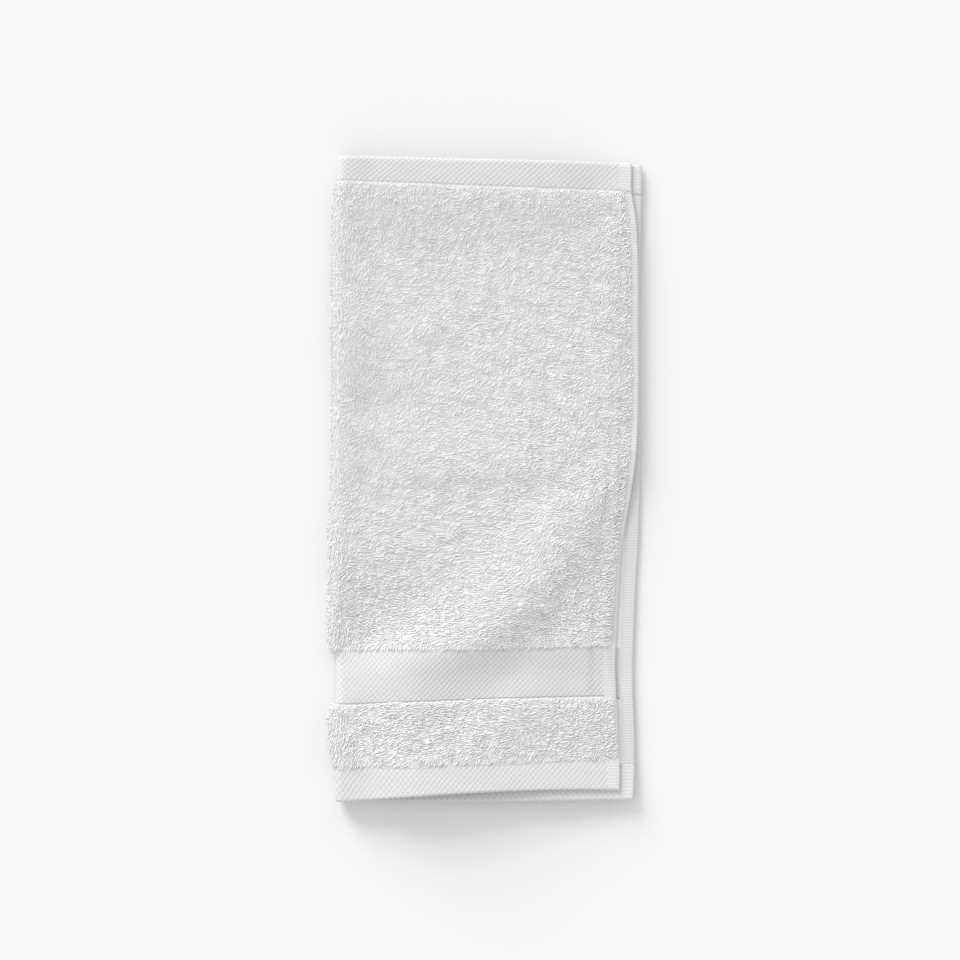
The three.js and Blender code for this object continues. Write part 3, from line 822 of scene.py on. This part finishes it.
class Nodes:
    """The node tree of one matt white cotton material, and the few ways it is built up."""

    def __init__(self, name):
        self.material = bpy.data.materials.new(name)
        self.material.use_nodes = True
        self.tree = self.material.node_tree
        self.shader = self.tree.nodes["Principled BSDF"]
        for socket, value in COTTON.items():
            self.shader.inputs[socket].default_value = value

    def wire(self, source, target):
        """Link an output to an input."""
        self.tree.links.new(source, target)

    def maths(self, operation, *values):
        """One step of maths on numbers or other outputs."""
        node = self.tree.nodes.new("ShaderNodeMath")
        node.operation = operation
        for socket, value in zip(node.inputs, values):
            if isinstance(value, (int, float)):
                socket.default_value = value
            else:
                self.wire(value, socket)
        return node.outputs[0]

    def flat_map(self):
        """Millimetres on the flat cloth: the place itself, then across and along."""
        node = self.tree.nodes.new("ShaderNodeUVMap")
        node.uv_map = "flat"
        split = self.tree.nodes.new("ShaderNodeSeparateXYZ")
        self.wire(node.outputs[0], split.inputs[0])
        return node.outputs[0], split.outputs[0], split.outputs[1]

    def wave(self, across, along, across_share, along_share, repeat):
        """A cosine along the given mix of the two ways, from -1 to 1."""
        part_across = self.maths("MULTIPLY", across, across_share)
        part_along = self.maths("MULTIPLY", along, along_share)
        mixed = self.maths("ADD", part_across, part_along)
        return self.maths("COSINE", self.maths("MULTIPLY", mixed, math.tau / repeat))

    def noise(self, place, size, detail):
        """Noise about zero whose patches are about size."""
        node = self.tree.nodes.new("ShaderNodeTexNoise")
        node.inputs["Scale"].default_value = 1 / size
        node.inputs["Detail"].default_value = detail
        self.wire(place, node.inputs["Vector"])
        return self.maths("MULTIPLY_ADD", node.outputs[0], 2.0, -1.0)

    def total(self, *terms):
        """The sum of each value times its weight."""
        result = 0.0
        for value, weight in terms:
            result = self.maths("MULTIPLY_ADD", value, weight, result)
        return result

    def colour(self, base, source, spread_by):
        """A base colour around base, moved by source times spread_by, and never whiter than WHITEST."""
        level = self.maths("MULTIPLY_ADD", source, spread_by, base)
        self.wire(self.maths("MINIMUM", level, WHITEST), self.shader.inputs["Base Color"])

    def fibres(self):
        """The yarn's fibres, as a fine bump in the object's own millimetres."""
        node = self.tree.nodes.new("ShaderNodeTexCoord")
        scale = self.tree.nodes.new("ShaderNodeVectorMath")
        scale.operation = "SCALE"
        scale.inputs["Scale"].default_value = 1 / MM
        self.wire(node.outputs["Object"], scale.inputs[0])
        self.relief(self.noise(scale.outputs[0], FIBRE_SIZE, 2), FIBRE_RELIEF)

    def relief(self, source, height):
        """Bump of height millimetres for each unit of source."""
        node = self.tree.nodes.new("ShaderNodeBump")
        node.inputs["Distance"].default_value = height * MM
        self.wire(source, node.inputs["Height"])
        self.wire(node.outputs[0], self.shader.inputs["Normal"])


def yarn_material(name, base, spread_by):
    """Yarn whose colour differs a little from strand to strand."""
    yarn = Nodes(name)
    tone = yarn.tree.nodes.new("ShaderNodeAttribute")
    tone.attribute_name = "shade"
    yarn.colour(base, tone.outputs["Fac"], spread_by)
    yarn.fibres()
    return yarn.material


def ground_material():
    """The plain weave the loops stand in."""
    weave = Nodes("cotton_ground")
    _, across, along = weave.flat_map()
    threads = weave.total(
        (weave.wave(across, along, 1, 0, GROUND_REPEAT), 0.5),
        (weave.wave(across, along, 0, 1, GROUND_REPEAT), 0.5),
    )
    # painted shade: the colour follows the threads' bump, darker in the hollows between them
    weave.colour(GROUND_COLOUR, threads, GROUND_SPREAD)
    weave.relief(threads, GROUND_RELIEF)
    return weave.material


def dobby_material():
    """Small raised floats on a centred lattice, joined up more strongly along one diagonal."""
    weave = Nodes("cotton_border_weave")
    place, across, along = weave.flat_map()
    fuzz = weave.noise(place, FUZZ_SIZE, 3)
    pull = weave.noise(place, PULL_SIZE, 1)
    drawn = weave.maths("MULTIPLY_ADD", pull, PULL, across)
    fade = weave.maths("MULTIPLY_ADD", weave.noise(place, FADE_SIZE, 2), FADE, 1.0)
    beads = weave.total(
        (weave.wave(drawn, along, 1, -1, BEAD_REPEAT), 0.55),
        (weave.wave(drawn, along, 1, 1, BEAD_REPEAT), 0.42),
    )
    floats = weave.total((weave.maths("MULTIPLY", beads, fade), 1), (fuzz, 0.45))
    # painted shade: a dark line just inside the border's start
    lip_at = BORDER_START + LIP_FROM_START
    from_lip = weave.maths("MULTIPLY_ADD", along, 1 / LIP_WIDTH, -lip_at / LIP_WIDTH)
    squared = weave.maths("MULTIPLY", from_lip, from_lip)
    lip = weave.maths("EXPONENT", weave.maths("MULTIPLY", squared, -1.0))
    from_middle = weave.maths("ABSOLUTE", weave.maths("SUBTRACT", along, CLOTH_LENGTH / 2))
    in_hem = weave.maths("GREATER_THAN", from_middle, CLOTH_LENGTH / 2 - 2 * END_HEM)
    # painted shade: the colour follows the floats' bump, darker between them
    shades = weave.total((floats, WEAVE_SPREAD), (lip, LIP_SHADE), (in_hem, END_HEM_LIGHTER))
    weave.colour(WEAVE_COLOUR, shades, 1)
    weave.relief(floats, WEAVE_RELIEF)
    return weave.material


def rib_material():
    """Close ribs across the turned side hems, with the steps of the end hems over them."""
    weave = Nodes("cotton_side_hem")
    place, across, along = weave.flat_map()
    ribs = weave.total(
        (weave.wave(across, along, 0, 1, RIB_REPEAT), 0.7),
        (weave.wave(across, along, 1, 0, 0.8 * RIB_REPEAT), 0.35),
        (weave.noise(place, FUZZ_SIZE, 3), 0.4),
    )
    turned, lines = [], []
    for way, end in HEM_STEPS:
        past = weave.maths("MULTIPLY_ADD", along, STEP_STEEPNESS * way, STEP_STEEPNESS * end)
        turned.append(weave.maths("TANH", past))
        squared = weave.maths("MULTIPLY", turned[-1], turned[-1])
        lines.append(weave.maths("POWER", weave.maths("SUBTRACT", 1.0, squared), 2.0))
    # painted shade: a dark line along each step, on the lower layer only
    on_lower = weave.maths("LESS_THAN", across, 0.0)
    line = weave.maths("MULTIPLY", weave.maths("ADD", lines[0], lines[1]), on_lower)
    # painted shade: the colour follows the ribs' bump, darker between them
    weave.colour(HEM_COLOUR, weave.total((ribs, HEM_SPREAD), (line, STEP_SHADE)), 1)
    weave.relief(weave.total((ribs, 0.2), (turned[0], 0.5), (turned[1], 0.5)), HEM_RELIEF)
    return weave.material


# ---- Scene ----

FLOOR_COLOUR = 0.853
FLOOR_REACH = 4000.0
SKY = 0.812
# the light the key gives level ground, in the sky's measure, its elevation and width in degrees, and the
# way it comes from
KEY_LEVEL = 0.29
KEY_ELEVATION = 22.0
KEY_SOFTNESS = 30.0
KEY_FROM = (-0.52, 0.85)
# how far the camera is, how much it sees at that distance, and the middle of its view
VIEW_DISTANCE = 1600.0
VIEW_WIDTH = 489.6
VIEW_CENTRE = (-2.0, -0.45)
SENSOR_WIDTH = 36


def make_floor():
    """A level matt floor."""
    reach = FLOOR_REACH
    points = [(-reach, -reach, 0), (reach, -reach, 0), (reach, reach, 0), (-reach, reach, 0)]
    material = bpy.data.materials.new("floor")
    material.use_nodes = True
    shader = material.node_tree.nodes["Principled BSDF"]
    shader.inputs["Base Color"].default_value = (FLOOR_COLOUR, FLOOR_COLOUR, FLOOR_COLOUR, 1)
    shader.inputs["Roughness"].default_value = 1.0
    shader.inputs["Specular IOR Level"].default_value = 0.0
    floor = make_object("floor", points, [np.array([[0, 1, 2, 3]])], [material])


def make_light():
    """An even white sky, which the camera sees in the floor's colour, and a low soft key."""
    world = bpy.data.worlds.new("studio")
    bpy.context.scene.world = world
    world.use_nodes = True
    nodes, links = world.node_tree.nodes, world.node_tree.links
    light = nodes["Background"]
    light.inputs["Color"].default_value = (1, 1, 1, 1)
    light.inputs["Strength"].default_value = SKY
    seen = nodes.new("ShaderNodeBackground")
    seen.inputs["Color"].default_value = (FLOOR_COLOUR, FLOOR_COLOUR, FLOOR_COLOUR, 1)
    path = nodes.new("ShaderNodeLightPath")
    mix = nodes.new("ShaderNodeMixShader")
    share = path.outputs["Is Camera Ray"]
    for ray in ("Is Glossy Ray", "Is Transmission Ray"):
        add = nodes.new("ShaderNodeMath")
        add.operation = "ADD"
        add.use_clamp = True
        links.new(share, add.inputs[0])
        links.new(path.outputs[ray], add.inputs[1])
        share = add.outputs[0]
    links.new(share, mix.inputs["Fac"])
    links.new(light.outputs[0], mix.inputs[1])
    links.new(seen.outputs[0], mix.inputs[2])
    links.new(mix.outputs[0], nodes["World Output"].inputs["Surface"])

    lamp = bpy.data.lights.new("key", "SUN")
    elevation = math.radians(KEY_ELEVATION)
    lamp.energy = KEY_LEVEL * math.pi / math.sin(elevation)
    lamp.angle = math.radians(KEY_SOFTNESS)
    key = bpy.data.objects.new("key", lamp)
    bpy.context.scene.collection.objects.link(key)
    azimuth = math.atan2(KEY_FROM[1], KEY_FROM[0])
    key.rotation_euler = (math.pi / 2 - elevation, 0, azimuth + math.pi / 2)
    key.location = (-1, 1, 1)


def make_camera():
    """Straight down at the cloth, from far off."""
    data = bpy.data.cameras.new("camera")
    data.sensor_width = SENSOR_WIDTH
    data.lens = SENSOR_WIDTH * VIEW_DISTANCE / VIEW_WIDTH
    camera = bpy.data.objects.new("camera", data)
    camera.location = (VIEW_CENTRE[0] * MM, VIEW_CENTRE[1] * MM, (VIEW_DISTANCE + TOP_HEIGHT) * MM)
    bpy.context.scene.collection.objects.link(camera)
    bpy.context.scene.camera = camera


make_camera()
make_light()
make_floor()
bpy.context.scene.view_settings.view_transform = "Standard"

cloth = make_cloth([ground_material(), dobby_material(), rib_material()])
yarn = yarn_material("cotton_pile", PILE_COLOUR, PILE_SPREAD)
pile = [make_face_pile(*row, yarn) for row in FACE_PILES]
pile.append(make_under_pile("pile_under", yarn))
thread = yarn_material("cotton_thread", THREAD_COLOUR, THREAD_SPREAD)
sewing = [make_stitches("stitches_face", 1, thread), make_stitches("stitches_back", -1, thread)]
sewing.extend(make_thread(*row, thread) for row in THREADS)

for piece in [cloth, *pile, *sewing]:
    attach(piece, "root")
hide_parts("washcloth")
